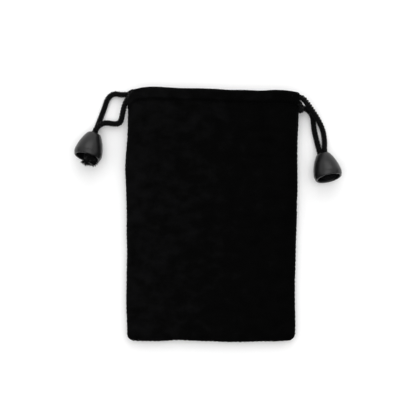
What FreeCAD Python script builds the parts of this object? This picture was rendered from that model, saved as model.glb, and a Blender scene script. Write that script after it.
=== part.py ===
"""Drawstring dice bag, lying flat on its back panel.

Frame: +Z up, the surface it lies on is Z = 0, the mouth points to +Y, the front
panel is on top. X = 0 and Y = 0 are the middle of the cloth bag.
Two velvet panels are sewn together at the sides and the bottom. Each panel is
folded in at the mouth and stitched down, which leaves a casing that both cords
run through. Each cord goes out through the front casing and back through the
rear one, and its two ends leave at the same side slit, pass through a plastic
bell and are tied in a knot inside it.
"""
import FreeCAD, Part
import math
import os
import re
import Sketcher
from FreeCAD import Placement, Rotation, Vector

DRIVING_SIZES = [
    ("half_width", 51.5),         # side seam to the middle of the bag
    ("half_length", 76.5),        # bottom seam, or left end of the mouth, to the middle
    ("mouth_tilt", 1.4),          # degrees that the mouth edge falls towards +X
    ("bottom_corner", 3.5),       # radius of the two bottom corners, seen from above
    ("mouth_corner", 2.6),        # radius of the two mouth corners, seen from above
    ("edge_round", 2.4),          # roll of the cloth over the seams
    ("cloth", 0.8),               # thickness of one layer of velvet
    ("seam_allowance", 2.6),      # width of the turned-in cloth beside a seam
    ("seam_height", 3.5),         # height of the seam between the panels
    ("foot_height", 7.0),         # height of the front panel at the bottom seam
    ("waist_height", 8.4),        # height of the front panel where it starts to rise
    ("waist_y", 20.0),            # where the front panel starts to rise
    ("casing_height", 14.0),      # height of the front panel over the casings
    ("shoulder_y", 60.0),         # where the front panel stops rising
    ("slit_end", 60.8),           # lower end of the side slits
    ("tunnel_height", 3.2),       # clear height of a casing, for one cord
    ("casing_depth", 8.0),        # mouth edge to the line of casing stitches
    ("stitched_width", 1.2),      # cloth pressed together along that line
    ("hem_half_width", 43.2),     # the inner layer of the casing stops short of the slits
    ("thread_radius", 0.32),      # seam thread
    ("thread_play", 0.08),        # room round a thread
    ("side_thread_inset", 1.3),   # seam thread to the edge of the bag
    ("thread_end_gap", 4.0),      # a side thread starts this far from the bottom edge
    ("casing_thread_radius", 0.2),
    ("tack_width", 1.8),
    ("tack_depth", 0.7),
    ("tack_height", 4.6),
    ("cord_diameter", 2.7),
    ("bell_length", 15.9),
    ("bell_top_radius", 4.0),
    ("bell_rim_radius", 8.4),
    ("bell_rim_start", 12.9),     # widest place, from the top of the bell
    ("bell_flank_radius", 28.0),
    ("bell_lip_radius", 7.6),
    ("bell_hole_radius", 2.95),
    ("bell_top_wall", 1.7),
    ("bell_mouth_radius", 6.7),
    ("bell_cavity_radius", 22.0),
    ("bell_tilt", 18.2),          # degrees that a bell on its side lifts its mouth
    ("knot_radius", 3.9),
]

SIDES = {"left": -1, "right": 1}

# Where each bell lies: the middle of its top, and the way its mouth points, in plan.
BELL_TOPS = {"left": Vector(-70.75, 48.4, 4.74), "right": Vector(67.1, 36.1, 4.74)}
BELL_HEADINGS = {"left": -105.0, "right": -77.5}
KNOT_DEPTHS = {"left": 10.4, "right": 9.6}

# The cords' routes. Each starts in its knot, goes through the front casing, turns
# back at the far slit, returns through the rear casing and ends in the same knot.
LEFT_ROUTE = [
    (-72.47, 41.96, 8.46), (-71.57, 45.35, 7.3), (-70.21, 50.4, 5.59), (-67.2, 53.9, 5.2),
    (-63.6, 55.0, 3.4), (-59.2, 54.0, 2.3), (-55.0, 54.2, 3.4), (-53.5, 59.4, 6.8),
    (-52.2, 65.4, 10.2), (-49.8, 69.8, 11.55), (-44.5, 70.74, 11.6),
    (-27.0, 70.31, 11.5), (0.0, 69.65, 11.46), (26.0, 69.02, 11.52), (39.0, 68.7, 11.6),
    (49.1, 68.35, 11.65), (49.1, 71.7, 2.35), (39.0, 72.05, 2.4), (26.0, 72.37, 2.48),
    (0.0, 73.0, 2.54), (-27.0, 73.6, 2.5), (-43.5, 73.95, 2.42), (-49.4, 73.8, 2.42),
    (-54.2, 71.8, 2.35), (-58.6, 72.6, 1.6), (-62.1, 70.4, 1.45), (-64.6, 63.4, 1.5),
    (-67.6, 55.4, 1.6), (-70.4, 49.7, 2.75), (-71.8, 44.47, 4.53), (-72.71, 41.08, 5.68),
]
RIGHT_ROUTE = [
    (69.96, 29.92, 6.93), (69.22, 33.29, 5.79), (68.14, 38.16, 4.15), (68.5, 43.8, 2.8),
    (67.0, 51.0, 2.2), (63.4, 58.7, 4.2), (59.9, 64.0, 7.4), (57.2, 68.2, 10.2),
    (54.6, 70.4, 11.3), (49.9, 71.2, 11.6), (43.5, 71.93, 11.6),
    (27.0, 72.34, 11.5), (0.0, 73.0, 11.46), (-26.0, 73.64, 11.52), (-39.0, 73.96, 11.6),
    (-49.1, 74.2, 11.65), (-49.1, 70.85, 2.35), (-39.0, 70.61, 2.4), (-26.0, 70.29, 2.48),
    (0.0, 69.65, 2.54), (27.0, 69.02, 2.5), (44.0, 68.66, 2.42), (48.4, 67.7, 2.42),
    (52.2, 64.0, 2.4), (57.4, 63.6, 1.5), (61.2, 59.2, 1.45), (61.6, 51.4, 1.5),
    (63.7, 43.6, 2.2), (65.27, 37.59, 4.13), (66.37, 32.66, 5.79), (67.11, 29.29, 6.93),
]


def in_sheet(formula):
    """Name the sheet in front of every size that a formula uses."""
    names = "|".join(sorted((name for name, _ in DRIVING_SIZES), key=len, reverse=True))
    return re.sub(rf"\b({names})\b", r"Sizes.\1", str(formula))


def bind(item, **formulas):
    """Bind properties to formulas in the sheet's sizes; __ stands for a dot."""
    for name, formula in formulas.items():
        item.setExpression(name.replace("__", "."), in_sheet(formula))


def make_sheet(document):
    sheet = document.addObject("Spreadsheet::Sheet", "Sizes")
    for row, (name, value) in enumerate(DRIVING_SIZES, start=1):
        sheet.set(f"A{row}", name)
        sheet.set(f"B{row}", str(value))
        sheet.setAlias(f"B{row}", name)
    document.recompute()
    return sheet


def new_body(document, label):
    body = document.addObject("PartDesign::Body", label)
    body.Label = label
    return body


def new_sketch(body, name, plane):
    sketch = body.newObject("Sketcher::SketchObject", name)
    base = next(f for f in body.Origin.OriginFeatures if f.Role == plane)
    sketch.AttachmentSupport = [(base, "")]
    sketch.MapMode = "FlatFace"
    return sketch


def value_of(sketch, formula):
    return float(sketch.evalExpression(in_sheet(formula)))


def add_loop(sketch, corners, arcs=None):
    """Add a closed outline through (across, along) formulas.

    arcs maps the number of a side to (radius formula, side): that side bulges to the
    right of its direction when side is 1, and to its left when it is -1.
    """
    arcs = arcs or {}
    start = sketch.GeometryCount
    points = [Vector(value_of(sketch, a), value_of(sketch, b), 0) for a, b in corners]
    for number, point in enumerate(points):
        following = points[(number + 1) % len(points)]
        if number in arcs:
            formula, side = arcs[number]
            radius = value_of(sketch, formula)
            chord = following - point
            half = chord.Length / 2
            rise = radius - math.sqrt(radius ** 2 - half ** 2)
            normal = Vector(chord.y, -chord.x, 0).normalize()
            middle = (point + following) / 2 + normal * rise * side
            sketch.addGeometry(Part.Arc(point, middle, following))
        else:
            sketch.addGeometry(Part.LineSegment(point, following))
    ends = {}
    for number, point in enumerate(points):
        edge = start + number
        first = sketch.getPoint(edge, 1)
        ends[number] = (1, 2) if (first - point).Length < 1e-6 else (2, 1)
    for number, (across, along) in enumerate(corners):
        edge = start + number
        after = (number + 1) % len(corners)
        sketch.addConstraint(Sketcher.Constraint(
            "Coincident", edge, ends[number][1], start + after, ends[after][0]))
        for kind, formula, value in (
                ("DistanceX", across, points[number].x), ("DistanceY", along, points[number].y)):
            index = sketch.addConstraint(
                Sketcher.Constraint(kind, -1, 1, edge, ends[number][0], value))
            name = f"{kind}_{edge}"
            sketch.renameConstraint(index, name)
            sketch.setExpression(f"Constraints.{name}", in_sheet(formula))
    for number, (formula, _) in arcs.items():
        edge = start + number
        index = sketch.addConstraint(
            Sketcher.Constraint("Radius", edge, value_of(sketch, formula)))
        sketch.renameConstraint(index, f"Radius_{edge}")
        sketch.setExpression(f"Constraints.Radius_{edge}", in_sheet(formula))


def rectangle(low_across, low_along, high_across, high_along):
    return [(low_across, low_along), (high_across, low_along),
            (high_across, high_along), (low_across, high_along)]


def add_feature(body, kind, name, sketch, length, both_ways=False, reverse=False):
    feature = body.newObject(f"PartDesign::{kind}", name)
    feature.Profile = sketch
    if both_ways:
        feature.SideType = "Symmetric"
    feature.Reversed = reverse
    bind(feature, Length=length)
    body.Document.recompute()
    return feature


def round_edges(body, name, base, radius, wanted):
    """Fillet every edge whose middle and direction pass the test."""
    names = []
    for number, edge in enumerate(base.Shape.Edges, start=1):
        middle = edge.valueAt((edge.FirstParameter + edge.LastParameter) / 2)
        along = edge.tangentAt((edge.FirstParameter + edge.LastParameter) / 2)
        if wanted(middle, along):
            names.append(f"Edge{number}")
    fillet = body.newObject("PartDesign::Fillet", name)
    fillet.Base = (base, names)
    bind(fillet, Radius=radius)
    body.Document.recompute()
    return fillet


MOUTH_FALL = "2 * half_width * tan(mouth_tilt)"
MOUTH_LINE = "(half_length - half_width * tan(mouth_tilt)) * cos(mouth_tilt)"
WIDE = "2 * half_width + 12"


def across_sketch(body, name, loops, tilted=False):
    """A side view, Y across and Z up, square to the seams or to the mouth edge."""
    sketch = new_sketch(body, name, "YZ_Plane")
    if tilted:
        sketch.AttachmentOffset = Placement(Vector(), Rotation(Vector(0, -1, 0), 1.0))
        bind(sketch, AttachmentOffset__Rotation__Angle="mouth_tilt")
    for loop in loops:
        add_loop(sketch, loop)
    return sketch


def plan_sketch(body, name, loops, height):
    sketch = new_sketch(body, name, "XY_Plane")
    bind(sketch, AttachmentOffset__Base__z=height)
    for loop in loops:
        add_loop(sketch, loop)
    return sketch


def make_panel(document, sheet, label, upper):
    """One velvet panel with its rolled edges and its stitched casing."""
    body = new_body(document, label)
    corners = [("-half_width", "-half_length"), ("half_width", "-half_length"),
               ("half_width", f"half_length - {MOUTH_FALL}"), ("-half_width", "half_length")]
    base = "seam_height" if upper else "0"
    thickness = "casing_height - seam_height" if upper else "seam_height"
    outline = plan_sketch(body, f"{label}_outline", [corners], base)
    shape = add_feature(body, "Pad", f"{label}_slab", outline, thickness)

    if upper:
        above = [("-half_length - 5", "foot_height"), ("waist_y", "waist_height"),
                 ("shoulder_y", "casing_height"), ("shoulder_y", "casing_height + 5"),
                 ("-half_length - 5", "casing_height + 5")]
        rise = across_sketch(body, f"{label}_rise", [above])
        shape = add_feature(body, "Pocket", f"{label}_slope", rise, WIDE, both_ways=True)

    def upright(along):
        return abs(along.z) > 0.99

    shape = round_edges(body, f"{label}_low_corners", shape, "bottom_corner",
                        lambda middle, along: upright(along) and middle.y < 0)
    shape = round_edges(body, f"{label}_mouth_corners", shape, "mouth_corner",
                        lambda middle, along: upright(along) and middle.y > 0)

    def rolled(middle, along):
        outside = middle.z > sheet.seam_height + 1 if upper else middle.z < 1
        at_edge = (abs(middle.x) > sheet.half_width - sheet.bottom_corner
                   or middle.y < sheet.bottom_corner - sheet.half_length)
        below_casing = middle.y < (sheet.waist_y if upper else sheet.slit_end)
        return outside and not upright(along) and at_edge and below_casing

    shape = round_edges(body, f"{label}_roll", shape, "edge_round", rolled)

    inner_end = "-half_length + seam_allowance"
    if upper:
        hollow = [(inner_end, "seam_height - 1"), ("slit_end", "seam_height - 1"),
                  ("slit_end", "casing_height - cloth"), ("shoulder_y", "casing_height - cloth"),
                  ("waist_y", "waist_height - cloth"), (inner_end, "foot_height - cloth")]
        slit = rectangle("slit_end", "seam_height - 1", "half_length + 5", "casing_height - cloth")
    else:
        hollow = rectangle(inner_end, "cloth", "slit_end", "seam_height + 1")
        slit = rectangle("slit_end", "cloth", "half_length + 5", "seam_height + 1")
    add_feature(body, "Pocket", f"{label}_hollow",
                across_sketch(body, f"{label}_hollow_view", [hollow]),
                "2 * (half_width - seam_allowance)", both_ways=True)
    add_feature(body, "Pocket", f"{label}_slit",
                across_sketch(body, f"{label}_slit_view", [slit]), WIDE, both_ways=True)

    def level(height):
        return f"casing_height - ({height})" if upper else height

    casing_end = f"{MOUTH_LINE} - casing_depth - stitched_width / 2"
    tunnel_end = f"{MOUTH_LINE} - casing_depth + stitched_width / 2"
    folded = rectangle(casing_end, level("cloth / 2"), MOUTH_LINE,
                       level("2 * cloth + tunnel_height"))
    tunnel = rectangle(tunnel_end, level("cloth"), f"{MOUTH_LINE} - cloth",
                       level("cloth + tunnel_height"))
    add_feature(body, "Pad", f"{label}_casing",
                across_sketch(body, f"{label}_casing_view", [folded, tunnel], tilted=True),
                "2 * hem_half_width", both_ways=True)

    room = "casing_thread_radius + thread_play"
    stitch_line = f"{MOUTH_LINE} - casing_depth"
    groove = rectangle(f"{stitch_line} - ({room})", level("-1"),
                       f"{stitch_line} + {room}", level(f"2 * ({room})"))
    add_feature(body, "Pocket", f"{label}_stitch_groove",
                across_sketch(body, f"{label}_stitch_view", [groove], tilted=True),
                "2 * hem_half_width", both_ways=True)

    half = "thread_radius + thread_play"
    seam_x = "half_width - side_thread_inset"
    low = "-half_length + thread_end_gap - 1"
    bottom = "-half_length + side_thread_inset"
    seams = [rectangle(f"{seam_x} - ({half})", low, f"{seam_x} + {half}", "slit_end + 1"),
             rectangle(f"-({seam_x}) - ({half})", low, f"-({seam_x}) + {half}", "slit_end + 1"),
             rectangle("-half_width + thread_end_gap - 1", f"{bottom} - ({half})",
                       "half_width - thread_end_gap + 1", f"{bottom} + {half}")]
    grooves = plan_sketch(body, f"{label}_seam_grooves_view", seams, "seam_height")
    add_feature(body, "Pocket", f"{label}_seam_grooves", grooves, half, reverse=upper)
    return body


def make_thread(document, label, radius, length, start, turn):
    """A straight thread from start, along the cylinder's own axis turned by turn."""
    thread = document.addObject("Part::Cylinder", label)
    thread.Label = label
    thread.Placement = Placement(Vector(), turn)
    bind(thread, Radius=radius, Height=length, Placement__Base__x=start[0],
         Placement__Base__y=start[1], Placement__Base__z=start[2])
    return thread


def make_tack(document, label, side):
    """The bar tack that stops a side slit from tearing."""
    tack = document.addObject("Part::Box", label)
    tack.Label = label
    middle = f"{side} * (half_width - side_thread_inset)"
    bind(tack, Length="tack_width", Width="tack_depth", Height="tack_height",
         Placement__Base__x=f"{middle} - tack_width / 2",
         Placement__Base__y="slit_end + 0.05",
         Placement__Base__z="seam_height - tack_height / 2")
    return tack


def bell_turn(heading, tilt):
    """Turn +Z, a bell's own axis, to the way that its mouth points."""
    plan = math.radians(heading)
    lift = math.radians(tilt)
    mouthward = Vector(math.cos(plan) * math.cos(lift), math.sin(plan) * math.cos(lift),
                       math.sin(lift))
    sideways = Vector(-math.sin(plan), math.cos(plan), 0)
    return Rotation(sideways.cross(mouthward), sideways, mouthward, "ZXY"), mouthward


def make_bell(document, label, top, turn):
    """A hollow bell: its top is at the body's origin and its mouth faces +Z."""
    body = new_body(document, label)
    sketch = new_sketch(body, f"{label}_profile", "XZ_Plane")
    outline = [
        ("bell_hole_radius", "0"), ("bell_top_radius", "0"),
        ("bell_rim_radius", "bell_rim_start"), ("bell_lip_radius", "bell_length"),
        ("bell_mouth_radius", "bell_length"), ("bell_mouth_radius", "bell_rim_start"),
        ("bell_hole_radius", "bell_top_wall")]
    add_loop(sketch, outline, arcs={1: ("bell_flank_radius", 1), 2: ("bell_length / 4", 1),
                                    5: ("bell_cavity_radius", -1)})
    turned = body.newObject("PartDesign::Revolution", f"{label}_turned")
    turned.Profile = sketch
    turned.ReferenceAxis = (sketch, ["V_Axis"])
    turned.Angle = 360.0
    document.recompute()
    body.Placement = Placement(top, turn)
    return body


def make_knot(document, label, centre):
    knot = document.addObject("Part::Sphere", label)
    knot.Label = label
    knot.Placement = Placement(centre, Rotation())
    bind(knot, Radius="knot_radius")
    return knot


def rounded_path(route):
    """Straight runs joined by tangent arcs; gives the wire and the arcs' radii."""
    points = [Vector(*point) for point in route]
    edges = []
    radii = []
    start = points[0]
    for before, corner, after in zip(points, points[1:], points[2:]):
        back = (before - corner).normalize()
        ahead = (after - corner).normalize()
        half_turn = (math.pi - back.getAngle(ahead)) / 2
        shorter = min((before - corner).Length, (after - corner).Length)
        cut = 0.45 * shorter
        radius = cut / math.tan(half_turn)
        entry = corner + back * cut
        leave = corner + ahead * cut
        centre = corner + (back + ahead).normalize() * (radius / math.cos(half_turn))
        middle = centre + (corner - centre).normalize() * radius
        edges.append(Part.LineSegment(start, entry).toShape())
        edges.append(Part.Arc(entry, middle, leave).toShape())
        radii.append(radius)
        start = leave
    edges.append(Part.LineSegment(start, points[-1]).toShape())
    return Part.Wire(edges), radii


def make_cord(document, label, route, diameter):
    path, radii = rounded_path(route)
    heading = (Vector(*route[1]) - Vector(*route[0])).normalize()
    ring = Part.Wire([Part.Circle(Vector(*route[0]), heading, diameter / 2).toShape()])
    cord = document.addObject("Part::Feature", label)
    cord.Label = label
    cord.Shape = path.makePipeShell([ring], True, False)
    expected = math.pi * diameter ** 2 / 4 * path.Length
    print(f"{label}: length {path.Length:.1f} mm, volume {cord.Shape.Volume:.1f},"
          f" section x length {expected:.1f},"
          f" radii {' '.join(f'{radius:.1f}' for radius in radii)}")
    return cord


def build(document):
    sheet = make_sheet(document)
    pieces = [make_panel(document, sheet, "back_panel", upper=False),
              make_panel(document, sheet, "front_panel", upper=True)]

    lying = Rotation(Vector(1, 0, 0), -90)
    across = Rotation(Vector(0, 1, 0), 90)
    for name, side in SIDES.items():
        pieces.append(make_thread(
            document, f"side_seam_{name}", "thread_radius",
            "slit_end + half_length - thread_end_gap",
            (f"{side} * (half_width - side_thread_inset)", "-half_length + thread_end_gap",
             "seam_height"), lying))
        pieces.append(make_tack(document, f"slit_tack_{name}", side))
    pieces.append(make_thread(
        document, "bottom_seam", "thread_radius", "2 * (half_width - thread_end_gap)",
        ("-half_width + thread_end_gap", "-half_length + side_thread_inset", "seam_height"),
        across))

    tilt = sheet.mouth_tilt
    along_mouth = Rotation(Vector(0, 0, 1), -tilt).multiply(across)
    stitch_start = (
        f"sin(mouth_tilt) * ({MOUTH_LINE} - casing_depth)"
        " - cos(mouth_tilt) * (hem_half_width - 0.5)",
        f"cos(mouth_tilt) * ({MOUTH_LINE} - casing_depth)"
        " + sin(mouth_tilt) * (hem_half_width - 0.5)")
    sunk = "casing_thread_radius + thread_play / 2"
    for name, height in (("front", f"casing_height - ({sunk})"), ("back", sunk)):
        pieces.append(make_thread(
            document, f"casing_stitch_{name}", "casing_thread_radius",
            "2 * hem_half_width - 1", (*stitch_start, height), along_mouth))

    for name, route in (("left", LEFT_ROUTE), ("right", RIGHT_ROUTE)):
        turn, mouthward = bell_turn(BELL_HEADINGS[name], sheet.bell_tilt)
        pieces.append(make_cord(document, f"drawstring_{name}", route, sheet.cord_diameter))
        pieces.append(make_knot(document, f"knot_{name}",
                                BELL_TOPS[name] + mouthward * KNOT_DEPTHS[name]))
        pieces.append(make_bell(document, f"bell_{name}", BELL_TOPS[name], turn))
    document.recompute()
    return pieces


def check(document, pieces):
    for item in document.Objects:
        if "Invalid" in item.State or "Error" in item.State:
            raise RuntimeError(f"{item.Label} failed: {item.State}")
    for piece in pieces:
        if piece.Shape.isNull() or not piece.Shape.isValid() or not piece.Shape.Solids:
            raise RuntimeError(f"{piece.Label} has no valid solid")
        box = piece.Shape.BoundBox
        print(f"{piece.Label}: {len(piece.Shape.Solids)} solid, {piece.Shape.Volume:.1f} mm3,"
              f" X {box.XMin:.2f}..{box.XMax:.2f}, Y {box.YMin:.2f}..{box.YMax:.2f},"
              f" Z {box.ZMin:.2f}..{box.ZMax:.2f}")


def main():
    document = FreeCAD.newDocument("dice_bag")
    pieces = build(document)
    check(document, pieces)
    os.makedirs("parts", exist_ok=True)
    for piece in pieces:
        piece.Shape.exportStep(f"parts/{piece.Label}.step")


main()
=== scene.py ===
"""The drawstring dice bag as it looks: velvet, braided cords, plastic bells.

Shapes are worked out in millimetres, in the frame's axes, and become metres when a
mesh is made. The front panel is the upper one, and the mouth points to +Y.
"""
import bisect
import math
import random

import bpy
import numpy as np
from mathutils import Matrix, Vector, noise


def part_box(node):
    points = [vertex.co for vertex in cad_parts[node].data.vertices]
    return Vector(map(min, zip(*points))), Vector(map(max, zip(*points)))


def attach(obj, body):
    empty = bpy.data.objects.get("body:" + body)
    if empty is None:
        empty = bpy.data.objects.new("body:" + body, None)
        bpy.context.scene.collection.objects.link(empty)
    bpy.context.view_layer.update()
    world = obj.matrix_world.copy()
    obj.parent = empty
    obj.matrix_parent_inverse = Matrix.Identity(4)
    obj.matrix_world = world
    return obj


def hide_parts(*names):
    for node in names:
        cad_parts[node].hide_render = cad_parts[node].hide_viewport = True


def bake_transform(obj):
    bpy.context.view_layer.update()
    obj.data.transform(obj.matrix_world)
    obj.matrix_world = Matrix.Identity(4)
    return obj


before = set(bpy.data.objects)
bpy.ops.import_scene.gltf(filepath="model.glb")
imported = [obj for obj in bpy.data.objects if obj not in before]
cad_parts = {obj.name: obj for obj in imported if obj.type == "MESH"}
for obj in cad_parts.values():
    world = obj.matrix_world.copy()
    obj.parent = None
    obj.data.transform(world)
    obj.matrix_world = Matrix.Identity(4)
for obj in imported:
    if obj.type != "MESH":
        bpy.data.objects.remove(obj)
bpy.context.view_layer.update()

MM = 0.001
SIDES = {"left": -1.0, "right": 1.0}

# The cloth bag. The panels' box gives its size; the rest is how the cloth lies.
BAG_LOW, BAG_HIGH = (np.array(corner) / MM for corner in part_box("back_panel"))
HALF_WIDTH = BAG_HIGH[0]
HALF_LENGTH = -BAG_LOW[1]
SEAM_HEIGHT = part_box("front_panel")[0][2] / MM
SLIT_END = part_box("slit_tack_left")[0][1] / MM
CLOTH = 0.7                 # thickness of the cloth
ROLL = 4.2                  # width of the rolled edge beside a seam
ROLL_POWER = 2.3            # how square that edge is: 2 is a quarter of an ellipse
SEAM_GAP = 0.12             # from the seam's height to either panel's edge
FOLD_DEPTH = 2.0            # mouth edge to the full thickness of its fold
CASING_DEPTH = 8.0          # mouth edge to the casing stitches
CASING_EASE = 5.0           # those stitches to the full height of the panel
HEM_TAIL = 2.4              # cloth turned in beyond those stitches
PINCH = 0.85                # half the thickness of the casing where it is stitched
PUFF = 1.5                  # how much more it is over the cords
OUTWARD = {"front": 1.0, "back": -1.0}          # the way that each panel faces
CORD_HEIGHTS = {"front": 11.6, "back": 2.42}    # the middle of each casing
MOUTH_DROPS = {"front": 0.0, "back": 0.35}      # the front covers the back's edge
HEM_ENDS = {"left": 45.0, "right": 50.6}        # the hem's ends, from the middle
CREASES = [                 # rise, then the place and reach along X and along Y
    (0.3, 34.0, 3.0, 14.0, 18.0),
    (-0.3, 25.0, 2.5, -34.0, 20.0),
]

# Rows and columns of points in a panel.
INNER_COLUMNS = 66
ROLL_STEPS = 11             # over a rolled edge
BODY_ROWS = 176
RISE_ROWS = 15              # from the casing stitches to the fold of the mouth
FOLD_ROWS = 9               # over either half of that fold
HEM_ROWS = 22

# The outline of the cloth as it lies, in millimetres: (x, y) along both ends and
# (y, distance from the middle) along both sides.
MOUTH_EDGE = [(-52.0, 68.6), (-50.2, 71.4), (-48.8, 73.5), (-45.8, 75.0), (-42.7, 75.7),
              (-36.8, 76.2), (-30.8, 75.8), (-20.0, 75.2), (-7.0, 75.2), (4.0, 74.6),
              (11.0, 74.1), (20.0, 74.2), (29.0, 73.8), (37.0, 74.1), (43.7, 73.8),
              (47.0, 73.4), (49.6, 73.0), (52.2, 72.3), (54.0, 71.3)]
BOTTOM_EDGE = [(-53.0, -76.7), (-45.0, -76.9), (-34.0, -77.1), (-28.0, -76.9), (-21.0, -76.4),
               (-12.0, -76.8), (0.0, -77.2), (10.0, -77.6), (22.0, -77.5), (31.0, -77.2),
               (39.0, -77.2), (47.0, -76.8), (53.0, -76.5)]
SIDE_EDGES = {
    "left": [(-78.0, 51.0), (-66.0, 51.2), (-55.0, 51.6), (-32.0, 51.3), (-22.0, 51.1),
             (-12.0, 51.4), (0.0, 51.3), (9.0, 51.5), (20.0, 51.9), (28.0, 52.2), (35.0, 51.8),
             (42.0, 51.2), (50.0, 50.7), (58.0, 50.5), (66.0, 50.2), (78.0, 50.1)],
    "right": [(-78.0, 50.5), (-66.0, 50.8), (-55.0, 50.6), (-40.0, 50.6), (-30.0, 50.9),
              (-16.0, 51.2), (-5.0, 51.6), (6.0, 51.8), (16.0, 52.1), (28.0, 52.0),
              (42.0, 52.0), (50.0, 52.3), (57.0, 52.6), (64.0, 52.6), (78.0, 52.4)],
}

STITCH_PITCH = 2.6          # along the seams
STITCH_COUNT = 18           # from the middle to one side, in a casing or the bottom seam

# The braid: its width is over the bumps, which stand out from the cord itself.
BRAID_WIDTH = 3.85
BRAID_PITCH = 7.8
CARRIERS = 4                # strands each way round
BRAID_SIDES = 6             # of each strand, and of the core
KNOT_BRAID = 2.9            # pulled tight in the knot
TAIL_BRAID = 4.0            # and opened out where the cord was cut

# The cords, in metres. Each route: knot, front casing, far slit, rear casing, knot.
ROUTES = {
    "left": [
        (-0.07247, 0.04196, 0.00846), (-0.07157, 0.04535, 0.00730), (-0.07021, 0.05040, 0.00559),
        (-0.06730, 0.05390, 0.00520), (-0.06380, 0.05520, 0.00340), (-0.05940, 0.05440, 0.00230),
        (-0.05520, 0.05450, 0.00340), (-0.05360, 0.05960, 0.00680), (-0.05220, 0.06520, 0.01020),
        (-0.04980, 0.06960, 0.01155), (-0.04450, 0.07064, 0.01160), (-0.02700, 0.07031, 0.01150),
        (0.00000, 0.06965, 0.01146), (0.02600, 0.06902, 0.01152), (0.03900, 0.06870, 0.01160),
        (0.04720, 0.06790, 0.01150), (0.04950, 0.06760, 0.01190), (0.05340, 0.06560, 0.01190),
        (0.05360, 0.06150, 0.00940), (0.05370, 0.06320, 0.00610), (0.05290, 0.06740, 0.00400),
        (0.05000, 0.07100, 0.00340), (0.04500, 0.07130, 0.00240), (0.03900, 0.07150, 0.00240),
        (0.02600, 0.07200, 0.00248), (0.00000, 0.07260, 0.00254), (-0.02700, 0.07320, 0.00250),
        (-0.04350, 0.07330, 0.00242), (-0.04880, 0.07250, 0.00242), (-0.05420, 0.07190, 0.00220),
        (-0.05920, 0.07300, 0.00200), (-0.06300, 0.07000, 0.00200), (-0.06520, 0.06300, 0.00200),
        (-0.06820, 0.05540, 0.00200), (-0.07040, 0.04970, 0.00275), (-0.07180, 0.04447, 0.00453),
        (-0.07271, 0.04108, 0.00568),
    ],
    "right": [
        (0.06996, 0.02992, 0.00693), (0.06922, 0.03329, 0.00579), (0.06814, 0.03816, 0.00415),
        (0.06860, 0.04380, 0.00280), (0.06750, 0.05120, 0.00220), (0.06340, 0.05860, 0.00420),
        (0.05950, 0.06370, 0.00740), (0.05680, 0.06680, 0.01020), (0.05450, 0.06930, 0.01180),
        (0.05000, 0.07040, 0.01210), (0.04350, 0.07140, 0.01160), (0.02700, 0.07200, 0.01150),
        (0.00000, 0.07260, 0.01146), (-0.02600, 0.07320, 0.01152), (-0.03900, 0.07330, 0.01160),
        (-0.04450, 0.07310, 0.01160), (-0.04840, 0.07280, 0.01120), (-0.04870, 0.07130, 0.00720),
        (-0.04780, 0.06970, 0.00300), (-0.04400, 0.07000, 0.00240), (-0.03900, 0.07020, 0.00240),
        (-0.02600, 0.07029, 0.00248), (0.00000, 0.06965, 0.00254), (0.02700, 0.06902, 0.00250),
        (0.04400, 0.06866, 0.00242), (0.04840, 0.06770, 0.00242), (0.05220, 0.06400, 0.00240),
        (0.05760, 0.06400, 0.00200), (0.06160, 0.05940, 0.00200), (0.06200, 0.05140, 0.00200),
        (0.06390, 0.04360, 0.00220), (0.06527, 0.03759, 0.00413), (0.06637, 0.03266, 0.00579),
        (0.06711, 0.02929, 0.00693),
    ],
}

# The bells: the middle of each top, and the way that its mouth points. They lie on
# their sides, and the mouth is the wider end, so the axis rises towards it.
BELL_TOPS = {"left": (-70.75, 48.4, 4.88), "right": (67.1, 36.1, 4.88)}
BELL_HEADINGS = {"left": math.radians(-105.0), "right": math.radians(-77.5)}
BELL_TILT = math.radians(18.2)

# The knots and the cut cord ends, in the axes of their bells.
KNOT_PLACES = {"left": (-1.0, 1.5, 15.4), "right": (-1.7, 0.4, 13.2)}
TAIL_ENDS = {
    "left": ((-3.0, 5.1, 19.0), (-2.8, 0.7, 20.2)),
    "right": ((-3.0, 2.2, 15.6), (-2.6, -1.8, 15.4)),
}


def place_camera():
    """Straight down on the bag, through a long lens."""
    camera = bpy.data.cameras.new("camera")
    camera.lens = 100.0
    camera.sensor_width = 36.0
    camera.clip_end = 10.0
    holder = bpy.data.objects.new("camera", camera)
    view_width = 0.2504
    holder.location = (-0.0021, 0.0035, 0.007 + view_width * camera.lens / camera.sensor_width)
    bpy.context.collection.objects.link(holder)
    bpy.context.scene.camera = holder


def add_light(name, place, aim, size, power):
    light = bpy.data.lights.new(name, "AREA")
    light.shape = "RECTANGLE"
    light.size, light.size_y = size
    light.energy = power
    holder = bpy.data.objects.new(name, light)
    holder.location = place
    holder.rotation_euler = (Vector(aim) - Vector(place)).to_track_quat("-Z", "Y").to_euler()
    bpy.context.collection.objects.link(holder)


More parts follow.
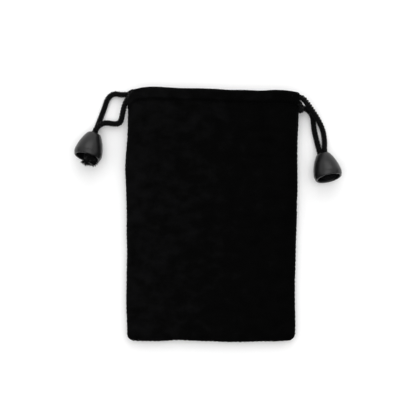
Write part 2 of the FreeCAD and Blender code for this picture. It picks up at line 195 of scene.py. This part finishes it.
def light_scene():
    """A white studio tent, bright overhead and beyond the mouth, dark low down elsewhere."""
    add_light("overhead", (0.0, 0.05, 1.15), (0.0, 0.0, 0.0), (1.0, 1.0), 3.8)
    add_light("backdrop", (0.1, 1.3, 0.95), (0.0, 0.0, 0.0), (1.4, 0.9), 6.0)
    world = bpy.data.worlds.new("studio")
    world.use_nodes = True
    nodes, links = world.node_tree.nodes, world.node_tree.links
    nodes["Background"].inputs["Color"].default_value = (1.0, 1.0, 1.0, 1.0)
    around = nodes.new("ShaderNodeTexCoord")
    towards_mouth = nodes.new("ShaderNodeVectorMath")
    towards_mouth.operation = "DOT_PRODUCT"
    towards_mouth.inputs[1].default_value = (0.0, 0.5, 0.87)
    glow = nodes.new("ShaderNodeMapRange")
    glow.interpolation_type = "SMOOTHSTEP"
    glow.inputs["From Min"].default_value = 0.08
    glow.inputs["From Max"].default_value = 0.5
    glow.inputs["To Min"].default_value = 0.06
    glow.inputs["To Max"].default_value = 1.08
    links.new(around.outputs["Generated"], towards_mouth.inputs[0])
    links.new(towards_mouth.outputs["Value"], glow.inputs["Value"])
    links.new(glow.outputs["Result"], nodes["Background"].inputs["Strength"])
    bpy.context.scene.world = world
    bpy.context.scene.view_settings.view_transform = "Standard"


# ---------------------------------------------------------------- materials

def new_material(name, colour, roughness, **sockets):
    """A material and its shader; other sockets are named with underscores for spaces."""
    material = bpy.data.materials.new(name)
    material.use_nodes = True
    shader = material.node_tree.nodes["Principled BSDF"]
    shader.inputs["Base Color"].default_value = (*colour, 1.0)
    shader.inputs["Roughness"].default_value = roughness
    for socket, value in sockets.items():
        shader.inputs[socket.replace("_", " ")].default_value = value
    return material, shader


def add_noise(material, scale, detail=3.0, stretch=(1.0, 1.0, 1.0)):
    """Noise in the object's own space; scale is in features a metre."""
    nodes, links = material.node_tree.nodes, material.node_tree.links
    place = nodes.new("ShaderNodeTexCoord")
    mapping = nodes.new("ShaderNodeMapping")
    mapping.inputs["Scale"].default_value = stretch
    texture = nodes.new("ShaderNodeTexNoise")
    texture.inputs["Scale"].default_value = scale
    texture.inputs["Detail"].default_value = detail
    links.new(place.outputs["Object"], mapping.inputs["Vector"])
    links.new(mapping.outputs["Vector"], texture.inputs["Vector"])
    return texture.outputs["Fac"]


def add_lean(material, factor, lean):
    """A factor that also changes across the object, by so much a metre along each axis."""
    nodes, links = material.node_tree.nodes, material.node_tree.links
    place = nodes.new("ShaderNodeTexCoord")
    across = nodes.new("ShaderNodeVectorMath")
    across.operation = "DOT_PRODUCT"
    across.inputs[1].default_value = lean
    total = nodes.new("ShaderNodeMath")
    links.new(place.outputs["Object"], across.inputs[0])
    links.new(across.outputs["Value"], total.inputs[0])
    links.new(factor, total.inputs[1])
    return total.outputs["Value"]


def colour_by(material, shader, factor, stops):
    """Colours from a ramp of (place, colour) stops."""
    nodes, links = material.node_tree.nodes, material.node_tree.links
    ramp = nodes.new("ShaderNodeValToRGB")
    while len(ramp.color_ramp.elements) < len(stops):
        ramp.color_ramp.elements.new(0.5)
    for element, (place, colour) in zip(ramp.color_ramp.elements, stops):
        element.position = place
        element.color = (*colour, 1.0)
    links.new(factor, ramp.inputs["Fac"])
    links.new(ramp.outputs["Color"], shader.inputs["Base Color"])


def roughen(material, shader, factor, low, high):
    """Roughness that goes from low to high with a factor."""
    nodes, links = material.node_tree.nodes, material.node_tree.links
    spread = nodes.new("ShaderNodeMapRange")
    spread.inputs["To Min"].default_value = low
    spread.inputs["To Max"].default_value = high
    links.new(factor, spread.inputs["Value"])
    links.new(spread.outputs["Result"], shader.inputs["Roughness"])


def add_bumps(material, shader, layers):
    """Stack bump layers, each (height, strength, distance in metres)."""
    nodes, links = material.node_tree.nodes, material.node_tree.links
    normal = None
    for height, strength, distance in layers:
        bump = nodes.new("ShaderNodeBump")
        bump.inputs["Strength"].default_value = strength
        bump.inputs["Distance"].default_value = distance
        links.new(height, bump.inputs["Height"])
        if normal:
            links.new(normal, bump.inputs["Normal"])
        normal = bump.outputs["Normal"]
    links.new(normal, shader.inputs["Normal"])


def velvet_material():
    material, shader = new_material(
        "black_velvet", (0.0018, 0.0018, 0.002), 0.95, Sheen_Weight=0.02,
        Sheen_Roughness=0.4, Sheen_Tint=(0.8, 0.83, 0.9, 1.0), Specular_IOR_Level=0.03)
    nap = add_noise(material, 150.0, 8.0, (0.8, 1.0, 1.0))
    # Random nap tone plus painted light: the base colour is made lighter towards -X and a little
    # towards +Y, as if lit from the upper left.
    nap_and_painted_light = add_lean(material, nap, (-4.0, 0.5, 0.0))
    colour_by(material, shader, nap_and_painted_light, [(0.15, (0.0004, 0.0004, 0.0004)),
                                          (0.5, (0.001, 0.001, 0.001)),
                                          (0.85, (0.003, 0.003, 0.0032))])
    add_bumps(material, shader, [(nap, 0.25, 0.0006),
                                 (add_noise(material, 900.0, 4.0, (1.0, 0.6, 1.0)), 0.7, 0.0004),
                                 (add_noise(material, 3200.0, 2.0), 0.5, 0.00015)])
    return material


def cord_material():
    material, shader = new_material(
        "braided_cord", (0.0018, 0.0018, 0.0019), 0.5, Sheen_Weight=0.01,
        Sheen_Roughness=0.5, Specular_IOR_Level=0.09)
    yarn = add_noise(material, 1500.0, 4.0)
    colour_by(material, shader, yarn, [(0.3, (0.0006, 0.0006, 0.0007)),
                                       (0.75, (0.0032, 0.0032, 0.0034))])
    roughen(material, shader, yarn, 0.35, 0.6)
    add_bumps(material, shader, [(yarn, 0.35, 0.00008),
                                 (add_noise(material, 5200.0, 2.0), 0.4, 0.00004)])
    return material


def thread_material():
    material, shader = new_material(
        "sewing_thread", (0.0016, 0.0016, 0.0018), 0.85, Specular_IOR_Level=0.04)
    ply = add_noise(material, 4200.0, 2.0)
    colour_by(material, shader, ply, [(0.3, (0.0008, 0.0008, 0.0009)),
                                      (0.7, (0.0026, 0.0026, 0.003))])
    add_bumps(material, shader, [(ply, 0.5, 0.00005)])
    return material


def bell_material():
    material, shader = new_material(
        "satin_plastic", (0.004, 0.004, 0.0042), 0.3, Specular_IOR_Level=0.37)
    mottle = add_noise(material, 260.0, 4.0)
    colour_by(material, shader, mottle, [(0.3, (0.0031, 0.0031, 0.0033)),
                                         (0.7, (0.005, 0.005, 0.0053))])
    roughen(material, shader, add_noise(material, 900.0, 3.0), 0.24, 0.36)
    scratches = add_noise(material, 420.0, 3.0, (1.0, 6.0, 1.0))
    add_bumps(material, shader, [(mottle, 0.08, 0.0004), (scratches, 0.06, 0.0001)])
    return material


def floor_material():
    material, shader = new_material("paper", (0.93, 0.93, 0.93), 0.9, Specular_IOR_Level=0.1)
    grain = add_noise(material, 300.0, 2.0)
    colour_by(material, shader, grain, [(0.2, (0.925, 0.925, 0.925)),
                                        (0.8, (0.935, 0.935, 0.935))])
    return material


# ---------------------------------------------------------------- mesh helpers

def make_mesh(name, points, faces, material):
    """A smooth mesh from points in millimetres."""
    mesh = bpy.data.meshes.new(name)
    mesh.from_pydata([tuple(float(c) * MM for c in point) for point in points], [], faces)
    mesh.materials.append(material)
    mesh.validate()
    mesh.shade_smooth()
    piece = bpy.data.objects.new(name, mesh)
    bpy.context.collection.objects.link(piece)
    return piece


def grid_faces(rows, columns, start=0, closed=False, flip=False):
    """Quads between neighbouring rows of points; closed rows run all the way round."""
    faces = []
    steps = columns if closed else columns - 1
    for row in range(rows - 1):
        for column in range(steps):
            low = start + row * columns
            a, b = low + column, low + (column + 1) % columns
            quad = (a, b, b + columns, a + columns)
            faces.append(quad[::-1] if flip else quad)
    return faces


def tube_faces(rows, sides, start=0):
    """Faces of a tube of closed rows, capped at both ends."""
    end = start + rows * sides
    faces = grid_faces(rows, sides, start, closed=True)
    faces.append(tuple(range(start, start + sides))[::-1])
    faces.append(tuple(range(end - sides, end)))
    return faces


def smooth(value):
    """From 0 to 1, level at both ends."""
    value = min(max(value, 0.0), 1.0)
    return value * value * (3.0 - 2.0 * value)


def mix(low, high, share):
    return low + (high - low) * share


def hump(value, width):
    """1 at zero, and next to nothing two widths away."""
    return math.exp(-(value / width) ** 2)


# ---------------------------------------------------------------- the velvet panels

def follow(outline, place):
    """The value of an outline at a place, on a smooth line through its points."""
    places = [point[0] for point in outline]
    after = min(max(bisect.bisect(places, place), 1), len(outline) - 1)
    (x0, y0), (x1, y1) = outline[after - 1], outline[after]
    before, beyond = outline[max(after - 2, 0)], outline[min(after + 1, len(outline) - 1)]
    slope0 = (y1 - before[1]) / (x1 - before[0])
    slope1 = (beyond[1] - y0) / (beyond[0] - x0)
    share = min(max((place - x0) / (x1 - x0), 0.0), 1.0)
    rest = 1.0 - share
    bend0 = slope0 * (x1 - x0) - (y1 - y0)
    bend1 = (y1 - y0) - slope1 * (x1 - x0)
    return mix(y0, y1, share) + share * rest * (bend0 * rest + bend1 * share)


def pucker(place, seed):
    """Small bumps along a sewn edge."""
    coarse = 0.16 * noise.noise(Vector((seed, place / 1.7, 3.0)))
    fine = 0.1 * noise.noise(Vector((seed, place / 0.8, 8.0)))
    return coarse + 0.1 * math.sin(place * 2.4) + fine


def mouth_y(x):
    return follow(MOUTH_EDGE, x) + 0.1 * math.sin(x / 5.1)


def bottom_y(x):
    return follow(BOTTOM_EDGE, x) + pucker(x, 21.0)


def half_width(name, y):
    return follow(SIDE_EDGES[name], y) + pucker(y, SIDES[name] * 9.0)


def rounding(distance, width):
    """From 0 at an edge to 1 at width inside it, upright at the edge."""
    inside = 1.0 - min(max(distance, 0.0), width) / width
    return (1.0 - inside ** ROLL_POWER) ** (1.0 / ROLL_POWER)


def casing_swell(below):
    """Half the thickness of the folded casing, at a distance below the mouth edge."""
    fold = math.sqrt(1.0 - (1.0 - min(below, FOLD_DEPTH) / FOLD_DEPTH) ** 2)
    return (PINCH + PUFF * smooth((CASING_DEPTH - below) / 2.0)) * fold


def ripple(x):
    """Soft upright folds left by the cords, which fade out at the middle of the bag."""
    wave = 0.62 * math.sin(x + 0.9 * math.sin(x / 7.0)) + 0.3 * math.sin(x * 1.63 + 1.3)
    wave += 0.2 * noise.noise(Vector((x / 3.0, 0.0, 5.0)))
    return wave * (1.0 - hump(x, 3.5))


def front_height(x, y, below):
    """The front panel's face, away from its edges."""
    body = 6.6 + 1.3 * smooth((y + 76.0) / 96.0) + 4.3 * smooth((y - 12.0) / 54.0)
    body += 0.55 * noise.noise(Vector((x / 27.0, y / 34.0, 1.0)))
    body += 0.28 * noise.noise(Vector((x / 9.0, y / 15.0, 2.0)))
    for rise, crease_x, reach_x, crease_y, reach_y in CREASES:
        body += rise * hump(x - crease_x, reach_x) * hump(y - crease_y, reach_y)
    body -= 0.35 * hump(y - 49.0, 1.6) * smooth((x - 3.0) / 8.0)    # across the right half
    gathered = 0.34 * ripple(x) * math.exp(-max(below - CASING_DEPTH, 0.0) / 13.0)
    if below >= CASING_DEPTH:
        stitched = CORD_HEIGHTS["front"] + PINCH
        height = mix(stitched, body, smooth((below - CASING_DEPTH) / CASING_EASE))
    else:
        height = CORD_HEIGHTS["front"] + casing_swell(below)
    near_stitches = 0.3 * hump(below - CASING_DEPTH, 0.8)
    return height - near_stitches + gathered * min(below / FOLD_DEPTH, 1.0)


def back_height(below):
    """The back panel's face, away from its edges: it lies on the table."""
    if below >= CASING_DEPTH:
        stitched = CORD_HEIGHTS["back"] - PINCH
        return mix(stitched, 0.12, smooth((below - CASING_DEPTH) / CASING_EASE))
    return CORD_HEIGHTS["back"] - casing_swell(below)


def panel_height(face, x, y, below):
    return front_height(x, y, below) if face == "front" else back_height(below)


def hem_height(face, x, y, below):
    """The turned-in layer of a casing, seen from the mouth."""
    inward = -OUTWARD[face]
    height = CORD_HEIGHTS[face] + inward * casing_swell(below)
    if below > CASING_DEPTH:
        stitched = CORD_HEIGHTS[face] + inward * PINCH
        lining = panel_height(face, x, y, below) + inward * (2.0 * CLOTH + 0.1)
        height = mix(stitched, lining, smooth((below - CASING_DEPTH) / 1.2))
    return height - inward * 0.18 * ripple(x + 2.0) * min(below / FOLD_DEPTH, 1.0)


def face_height(face, x, y, below, edge):
    """A panel's face, rolled down to the seam at its edges and free above the slit."""
    free = smooth((y - SLIT_END + 1.0) / 6.5)
    width = mix(ROLL, 1.4, free)
    if face == "front":
        groove = 0.13 * hump(edge - 3.0, 0.5) * (0.7 + 0.3 * math.sin(y * 2.7)) * (1.0 - free)
        top = front_height(x, y, below) - groove
        base = mix(SEAM_HEIGHT + SEAM_GAP, top - 0.6, free)
        return base + (top - base) * rounding(edge, width)
    under = back_height(below)
    base = mix(SEAM_HEIGHT - SEAM_GAP, under + 0.35, free)
    return base - (base - under) * rounding(edge, width)


def spread_columns():
    """(kind, value): shares of the flat part, then distances from the side edge."""
    inner = [("inner", share) for share in np.linspace(0.0, 1.0, INNER_COLUMNS)]
    rolled = [("rolled", ROLL * (1.0 - math.sin(angle)))
              for angle in np.linspace(0.0, math.pi / 2, ROLL_STEPS)[1:]]
    return inner + rolled


def spread_rows():
    """(zone, value) from the bottom seam, over the mouth and down the turned-in hem."""
    rolled = [("bottom", ROLL * (1.0 - math.cos(angle)))
              for angle in np.linspace(0.0, math.pi / 2, ROLL_STEPS)[:-1]]
    body = [("body", share) for share in np.linspace(0.0, 1.0, BODY_ROWS)]
    rise = [("casing", below) for below in np.linspace(CASING_DEPTH, FOLD_DEPTH, RISE_ROWS)[1:]]
    fold = [FOLD_DEPTH * (1.0 - math.sin(angle))
            for angle in np.linspace(0.0, math.pi / 2, FOLD_ROWS)[1:]]
    over = [("casing", below) for below in fold]
    under = [("hem", below) for below in fold[-2::-1]]
    inside = [("hem", below)
              for below in np.linspace(FOLD_DEPTH, CASING_DEPTH + HEM_TAIL, HEM_ROWS)]
    return rolled + body + rise + over + under + inside


def panel_point(face, name, column, row):
    """A point of a panel's face or hem, with round corners and a groove at the seams."""
    side = SIDES[name]
    kind, across = column
    zone, along = row
    guess = side * ((HALF_WIDTH - ROLL) * across if kind == "inner" else HALF_WIDTH - across)
    mouth = mouth_y(guess) - MOUTH_DROPS[face]
    bottom = bottom_y(guess)
    if zone == "bottom":
        y = bottom + along
    elif zone == "body":
        y = mix(bottom + ROLL, mouth - CASING_DEPTH, along)
    else:
        y = mouth - along
    half = half_width(name, y)
    out = (half - ROLL) * across if kind == "inner" else half - across
    from_side, from_bottom = half - out, y - bottom
    edge = min(from_side, from_bottom)
    if from_side < ROLL and from_bottom < ROLL:
        p, q = 1.0 - from_side / ROLL, 1.0 - from_bottom / ROLL
        out = half - ROLL + ROLL * p * math.sqrt(1.0 - q * q / 2.0)
        y = bottom + ROLL - ROLL * q * math.sqrt(1.0 - p * p / 2.0)
        edge = ROLL * (1.0 - math.sqrt(p * p + q * q - p * p * q * q))
    below = mouth - y
    if zone == "hem":
        out *= HEM_ENDS[name] / half
        return Vector((side * out, y, hem_height(face, side * out, y, below)))
    z = face_height(face, side * out, y, below, edge)
    groove = 0.4 * hump(z - SEAM_HEIGHT, 0.55) * (1.0 - smooth((y - SLIT_END + 1.0) / 3.0))
    if from_side < ROLL:
        out -= groove * (1.0 - from_side / ROLL)
    if from_bottom < ROLL:
        y += groove * (1.0 - from_bottom / ROLL)
    return Vector((side * out, y, z))


def raise_pile(piece):
    """Give the cloth its uneven pile, then its thickness, inwards."""
    mesh = piece.data
    places = np.array([vertex.co[:] for vertex in mesh.vertices])
    normals = np.array([vertex.normal[:] for vertex in mesh.vertices])
    normals[np.abs(places[:, 0]) < 1e-6, 0] = 0.0
    depths = np.array([0.07 * noise.noise(Vector(place / MM / 1.5))
                       + 0.05 * noise.noise(Vector(place / MM / 0.8)) for place in places])
    places += normals * depths[:, None] * MM
    just_off_the_floor = 0.02
    places[:, 2] = np.maximum(places[:, 2], just_off_the_floor * MM)
    mesh.vertices.foreach_set("co", places.ravel())
    mesh.update()
    thicken = piece.modifiers.new("cloth", "SOLIDIFY")
    thicken.thickness = CLOTH * MM
    thicken.offset = -1.0
    apply_modifiers(piece)


def apply_modifiers(piece):
    shape = piece.evaluated_get(bpy.context.evaluated_depsgraph_get())
    mesh = bpy.data.meshes.new_from_object(shape)
    mesh.shade_smooth()
    piece.modifiers.clear()
    piece.data = mesh


def blend_side(piece):
    """Bake the piece's placement into its mesh."""
    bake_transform(piece)


def make_panel(face, name, material):
    columns, rows = spread_columns(), spread_rows()
    points = [panel_point(face, name, column, row) for row in rows for column in columns]
    flip = (face == "front") == (name == "left")
    faces = grid_faces(len(rows), len(columns), flip=flip)
    piece = make_mesh(f"velvet_{face}_{name}", points, faces, material)
    raise_pile(piece)
    blend_side(piece)
    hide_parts(f"{face}_panel")


# ---------------------------------------------------------------- threads

def tube_along(points, radii, sides=6):
    """Points and faces of a capped tube through a few points, in millimetres."""
    points = [Vector(point) for point in points]
    surface = []
    for number, point in enumerate(points):
        before = points[max(number - 1, 0)]
        after = points[min(number + 1, len(points) - 1)]
        along = (after - before).normalized()
        first = along.orthogonal().normalized()
        second = along.cross(first)
        for step in range(sides):
            angle = 2.0 * math.pi * step / sides
            outward = first * math.cos(angle) + second * math.sin(angle)
            surface.append(point + outward * radii[number])
    return surface, tube_faces(len(points), sides)


def join_tubes(name, tubes, material):
    """One piece from many (points, faces)."""
    points, faces = [], []
    for more_points, more_faces in tubes:
        start = len(points)
        points += more_points
        faces += [tuple(start + corner for corner in face) for face in more_faces]
    return make_mesh(name, points, faces, material)


def stitch(start, end, lift, radius=0.19):
    """One stitch that rises out of the cloth and goes back in."""
    start, end, lift = Vector(start), Vector(end), Vector(lift)
    shares = (0.0, 0.12, 0.35, 0.65, 0.88, 1.0)
    points = [start.lerp(end, share) + lift * (4.0 * share * (1.0 - share)) - lift * 0.35
              for share in shares]
    return tube_along(points, [radius * 0.7, radius, radius, radius, radius, radius * 0.7])


def seam_stitch(x, y, slant, lift, radius=0.16, below=0.75, above=0.75):
    """One stitch over a seam, from the back panel to the front one."""
    start = (x, y, SEAM_HEIGHT - below)
    end = (x + slant[0], y + slant[1], SEAM_HEIGHT + above)
    return stitch(start, end, (*lift, 0.0), radius)


def make_casing_stitches(face, name, material):
    side = SIDES[name]
    first, pitch, length = 0.3, 2.75, 2.2
    tubes = []
    for number in range(STITCH_COUNT):
        ends = []
        for x in (first + number * pitch, first + number * pitch + length):
            y = mouth_y(side * x) - CASING_DEPTH - MOUTH_DROPS[face]
            ends.append((side * x, y, panel_height(face, side * x, y, CASING_DEPTH)))
        tubes.append(stitch(*ends, (0.0, 0.0, 0.16 * OUTWARD[face])))
    piece = join_tubes(f"casing_stitches_{face}_{name}", tubes, material)
    blend_side(piece)
    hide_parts(f"casing_stitch_{face}")


def make_side_stitches(name, material):
    side = SIDES[name]
    tubes = []
    y = -HALF_LENGTH + ROLL
    while y < SLIT_END - 1.0:
        x = side * (half_width(name, y) - 0.62)
        tubes.append(seam_stitch(x, y, (0.0, 0.5), (side * 0.28, 0.0)))
        y += STITCH_PITCH
    piece = join_tubes(f"side_seam_stitches_{name}", tubes, material)
    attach(piece, f"{name}_side")
    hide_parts(f"side_seam_{name}")


def make_bottom_stitches(name, material):
    side = SIDES[name]
    tubes = []
    for number in range(STITCH_COUNT):
        x = side * (STITCH_PITCH / 2.0 + STITCH_PITCH * number)
        y = bottom_y(x) + 0.62
        tubes.append(seam_stitch(x, y, (0.5, 0.0), (0.0, -0.28)))
    piece = join_tubes(f"bottom_seam_stitches_{name}", tubes, material)
    blend_side(piece)
    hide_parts("bottom_seam")


def make_tack(name, material):
    """Close turns of thread round the end of a side slit."""
    side = SIDES[name]
    tubes = []
    for turn in range(6):
        y = SLIT_END - 0.9 + 0.32 * turn
        x = side * (half_width(name, y) - 0.55)
        tubes.append(seam_stitch(x, y, (0.0, 0.1), (side * 0.5, 0.0), 0.19, 1.5, 1.7))
    piece = join_tubes(f"bar_tack_{name}", tubes, material)
    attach(piece, f"{name}_side")
    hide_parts(f"slit_tack_{name}")


# ---------------------------------------------------------------- cords

def read_route(name, route):
    """The points of the smooth line that a route's control points shape, in metres."""
    curve = bpy.data.curves.new(f"{name}_line", "CURVE")
    curve.dimensions = "3D"
    curve.resolution_u = 24
    spline = curve.splines.new("NURBS")
    spline.points.add(len(route) - 1)
    for point, place in zip(spline.points, route):
        point.co = (*place, 1.0)
    spline.order_u = 3
    spline.use_endpoint_u = True
    holder = bpy.data.objects.new(f"{name}_line", curve)
    bpy.context.collection.objects.link(holder)
    bpy.context.view_layer.update()
    shape = holder.evaluated_get(bpy.context.evaluated_depsgraph_get())
    mesh = bpy.data.meshes.new_from_object(shape)
    points = np.array([vertex.co[:] for vertex in mesh.vertices])
    bpy.data.objects.remove(holder)
    bpy.data.curves.remove(curve)
    bpy.data.meshes.remove(mesh)
    return points


def space_evenly(points, step):
    """Points about a step apart along a line, and how far along it each one is."""
    gaps = np.linalg.norm(np.diff(points, axis=0), axis=1)
    lengths = np.concatenate([[0.0], np.cumsum(gaps)])
    stations = np.linspace(0.0, lengths[-1], max(int(lengths[-1] / step), 2) + 1)
    even = np.stack([np.interp(stations, lengths, points[:, axis]) for axis in range(3)], axis=1)
    return even, stations


def carry_frames(points):
    """Two directions across a line at each point, carried along it without twist."""
    along = np.gradient(points, axis=0)
    along /= np.linalg.norm(along, axis=1, keepdims=True)
    first = np.cross(along[0], (0.0, 0.0, 1.0))
    first /= np.linalg.norm(first)
    across = [first]
    for direction in along[1:]:
        carried = across[-1] - direction * np.dot(across[-1], direction)
        across.append(carried / np.linalg.norm(carried))
    across = np.array(across)
    return across, np.cross(along, across)


def braid(points, diameter, step=0.3):
    """Points and faces of a round braid along a line, in millimetres.

    Half of the flat strands wind each way, and each passes over one and under one,
    round a plain core.
    """
    line, stations = space_evenly(points, step)
    across, upward = carry_frames(line)
    radius = diameter / 2.0
    thick, wide, weave, core = radius * 0.22, radius * 0.36, radius * 0.25, radius * 0.45
    middle = radius - thick - weave
    over_and_under = weave * np.cos(2.0 * math.pi * CARRIERS * stations / BRAID_PITCH)
    spins = [2.0 * math.pi * side / BRAID_SIDES for side in range(BRAID_SIDES)]
    tubes = []
    for way in (1.0, -1.0):
        for carrier in range(CARRIERS):
            turn = way * 2.0 * math.pi * stations / BRAID_PITCH
            angle = turn + 2.0 * math.pi * carrier / CARRIERS
            height = middle + way * over_and_under
            outward = across * np.cos(angle)[:, None] + upward * np.sin(angle)[:, None]
            sideways = -across * np.sin(angle)[:, None] + upward * np.cos(angle)[:, None]
            tubes.append([line + outward * (height + thick * math.cos(spin))[:, None]
                          + sideways * (wide * math.sin(spin)) for spin in spins])
    tubes.append([line + (across * math.cos(spin) + upward * math.sin(spin)) * core
                  for spin in spins])
    vertices, faces = [], []
    for lines in tubes:
        faces += tube_faces(len(line), BRAID_SIDES, len(vertices))
        vertices += [tuple(vertex) for vertex in np.stack(lines, axis=1).reshape(-1, 3)]
    return vertices, faces


def make_cord(name, material):
    """A cord, and the points of its middle line in metres."""
    path = read_route(name, ROUTES[name])
    vertices, faces = braid(path / MM, BRAID_WIDTH)
    piece = make_mesh(f"cord_{name}", vertices, faces, material)
    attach(piece, f"{name}_drawstring")
    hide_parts(f"drawstring_{name}")
    return piece, path


# ---------------------------------------------------------------- knots and bells

def bell_frame(name):
    """A bell's own axes: its top is at the origin and its mouth faces +Z."""
    heading = BELL_HEADINGS[name]
    mouthward = Vector((math.cos(heading) * math.cos(BELL_TILT),
                        math.sin(heading) * math.cos(BELL_TILT), math.sin(BELL_TILT)))
    sideways = Vector((-math.sin(heading), math.cos(heading), 0.0))
    upward = sideways.cross(mouthward)
    turn = Matrix((upward, sideways, mouthward)).transposed().to_4x4()
    return Matrix.Translation(BELL_TOPS[name]) @ turn


def frayed_end(start, along, seed):
    """Loose yarns that spread out of a cut cord end."""
    yarns, widest = 190, 2.1
    picker = random.Random(seed)
    first = along.orthogonal().normalized()
    second = along.cross(first)
    tubes = []
    for _ in range(yarns):
        angle = picker.uniform(0.0, 2.0 * math.pi)
        reach = widest * math.sqrt(picker.random())
        spread = (first * math.cos(angle) + second * math.sin(angle)) * reach
        length = picker.uniform(0.7, 1.7)
        root = start + spread * 0.8
        tip = root + along * length + spread * picker.uniform(0.3, 1.0)
        bend = root.lerp(tip, 0.55) + spread * 0.15
        tubes.append(tube_along([root, bend, tip], [0.13, 0.12, 0.07], sides=4))
    return tubes


def make_knot(name, material):
    """Both cord ends tied together, with their cut ends towards the bell's mouth."""
    place = bell_frame(name) @ Matrix.Translation(KNOT_PLACES[name])
    place = place @ Matrix.Rotation(0.6, 4, "Z")
    size = 0.95
    turns = np.linspace(0.0, 2.0 * math.pi, 121)
    loop = np.stack([size * (np.sin(turns) + 2.0 * np.sin(2.0 * turns)),
                     size * (np.cos(turns) - 2.0 * np.cos(2.0 * turns)),
                     -1.35 * np.sin(3.0 * turns)], axis=1)
    turn = np.array(place.to_3x3())
    shift = np.array(place.translation)
    tubes = [braid(loop @ turn.T + shift, KNOT_BRAID, step=0.25)]
    middle = Vector(KNOT_PLACES[name])
    for number, tail in enumerate(TAIL_ENDS[name]):
        tip = Vector(tail)
        bend = middle.lerp(tip, 0.6) + Vector((-0.3, 0.25 * (tip.y - middle.y), 0.0))
        root, bend, end = (bell_frame(name) @ point for point in (middle, bend, tip))
        lean = (end - bend).normalized()
        tubes.append(braid(np.array([root, bend, end]), TAIL_BRAID, step=0.25))
        tubes += frayed_end(end - lean * 0.5, lean, seed=7 + number)
    piece = join_tubes(f"knot_ends_{name}", tubes, material)
    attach(piece, f"{name}_drawstring")
    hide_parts(f"knot_{name}")
    return piece


def arc_through(start, end, radius, steps, outward=1.0):
    """Points of an arc in a bell's outline, each (radius, depth), without the last one."""
    start, end = Vector(start), Vector(end)
    chord = end - start
    normal = Vector((chord.y, -chord.x)).normalized() * outward
    half = chord.length / 2.0
    centre = (start + end) / 2.0 - normal * math.sqrt(max(radius ** 2 - half ** 2, 0.0))
    first = math.atan2(*(start - centre).yx)
    sweep = (math.atan2(*(end - centre).yx) - first + math.pi) % (2.0 * math.pi) - math.pi
    return [(centre.x + radius * math.cos(first + sweep * step / steps),
             centre.y + radius * math.sin(first + sweep * step / steps))
            for step in range(steps)]


def bell_outline():
    """Once round the wall of a bell: hole, shoulder, flank, lip, cavity."""
    hole, top, rim, mouth = 2.95, 4.3, 8.55, 6.8
    length, rim_depth, top_wall, shoulder = 15.9, 12.9, 1.9, 0.45
    lip, lip_top = (7.95, length - 0.35), (7.35, length)
    outline = [(hole + 0.25, shoulder), (top - 0.45, shoulder)]
    outline += arc_through((top, shoulder + 0.24), (rim, rim_depth), 28.0, 26)
    outline += arc_through((rim, rim_depth), lip, 7.5, 9)
    outline += arc_through(lip, lip_top, 0.62, 5)
    outline += arc_through(lip_top, (mouth, length - 0.5), 0.5, 4)
    outline += [(mouth, length - 1.5)]
    outline += arc_through((mouth, rim_depth), (hole + 0.3, top_wall + 0.1), 22.0, 16, -1.0)
    outline += [(hole + 0.05, top_wall), (hole, top_wall - 0.3), (hole, shoulder + 0.3)]
    return outline


def make_bell(name, material):
    """A bell, with the faint parting line of its mould down both sides."""
    outline = bell_outline()
    segments = 112
    place = bell_frame(name)
    points = []
    for radius, depth in outline:
        has_parting = radius > 3.8 and (radius > 6.9 or depth < 13.0)
        for step in range(segments):
            angle = 2.0 * math.pi * step / segments
            parting = 0.035 * hump(math.sin(angle), 0.045) if has_parting else 0.0
            reach = radius + parting
            point = Vector((reach * math.cos(angle), reach * math.sin(angle), depth))
            points.append(place @ point)
    faces = grid_faces(len(outline), segments, closed=True)
    last = (len(outline) - 1) * segments
    for step in range(segments):
        after = (step + 1) % segments
        faces.append((last + step, last + after, after, step))
    piece = make_mesh(f"bell_shell_{name}", points, faces, material)
    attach(piece, f"{name}_bell")
    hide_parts(f"bell_{name}")
    return piece


def make_floor(material):
    half_size = 6000.0
    corners = ((-1, -1), (1, -1), (1, 1), (-1, 1))
    points = [(x * half_size, y * half_size, 0.0) for x, y in corners]
    mesh = bpy.data.meshes.new("floor")
    mesh.from_pydata([tuple(c * MM for c in point) for point in points], [], [(0, 1, 2, 3)])
    mesh.materials.append(material)
    floor = bpy.data.objects.new("floor", mesh)
    bpy.context.collection.objects.link(floor)


place_camera()
cord_look = cord_material()
thread_look = thread_material()
velvet_look = velvet_material()
bell_look = bell_material()

for side_name in SIDES:
    cord, cord_path = make_cord(side_name, cord_look)
    knot = make_knot(side_name, cord_look)
    bell = make_bell(side_name, bell_look)

for side_name in SIDES:
    for face_name in ("front", "back"):
        make_panel(face_name, side_name, velvet_look)
        make_casing_stitches(face_name, side_name, thread_look)
    make_side_stitches(side_name, thread_look)
    make_bottom_stitches(side_name, thread_look)
    make_tack(side_name, thread_look)

make_floor(floor_material())
light_scene()
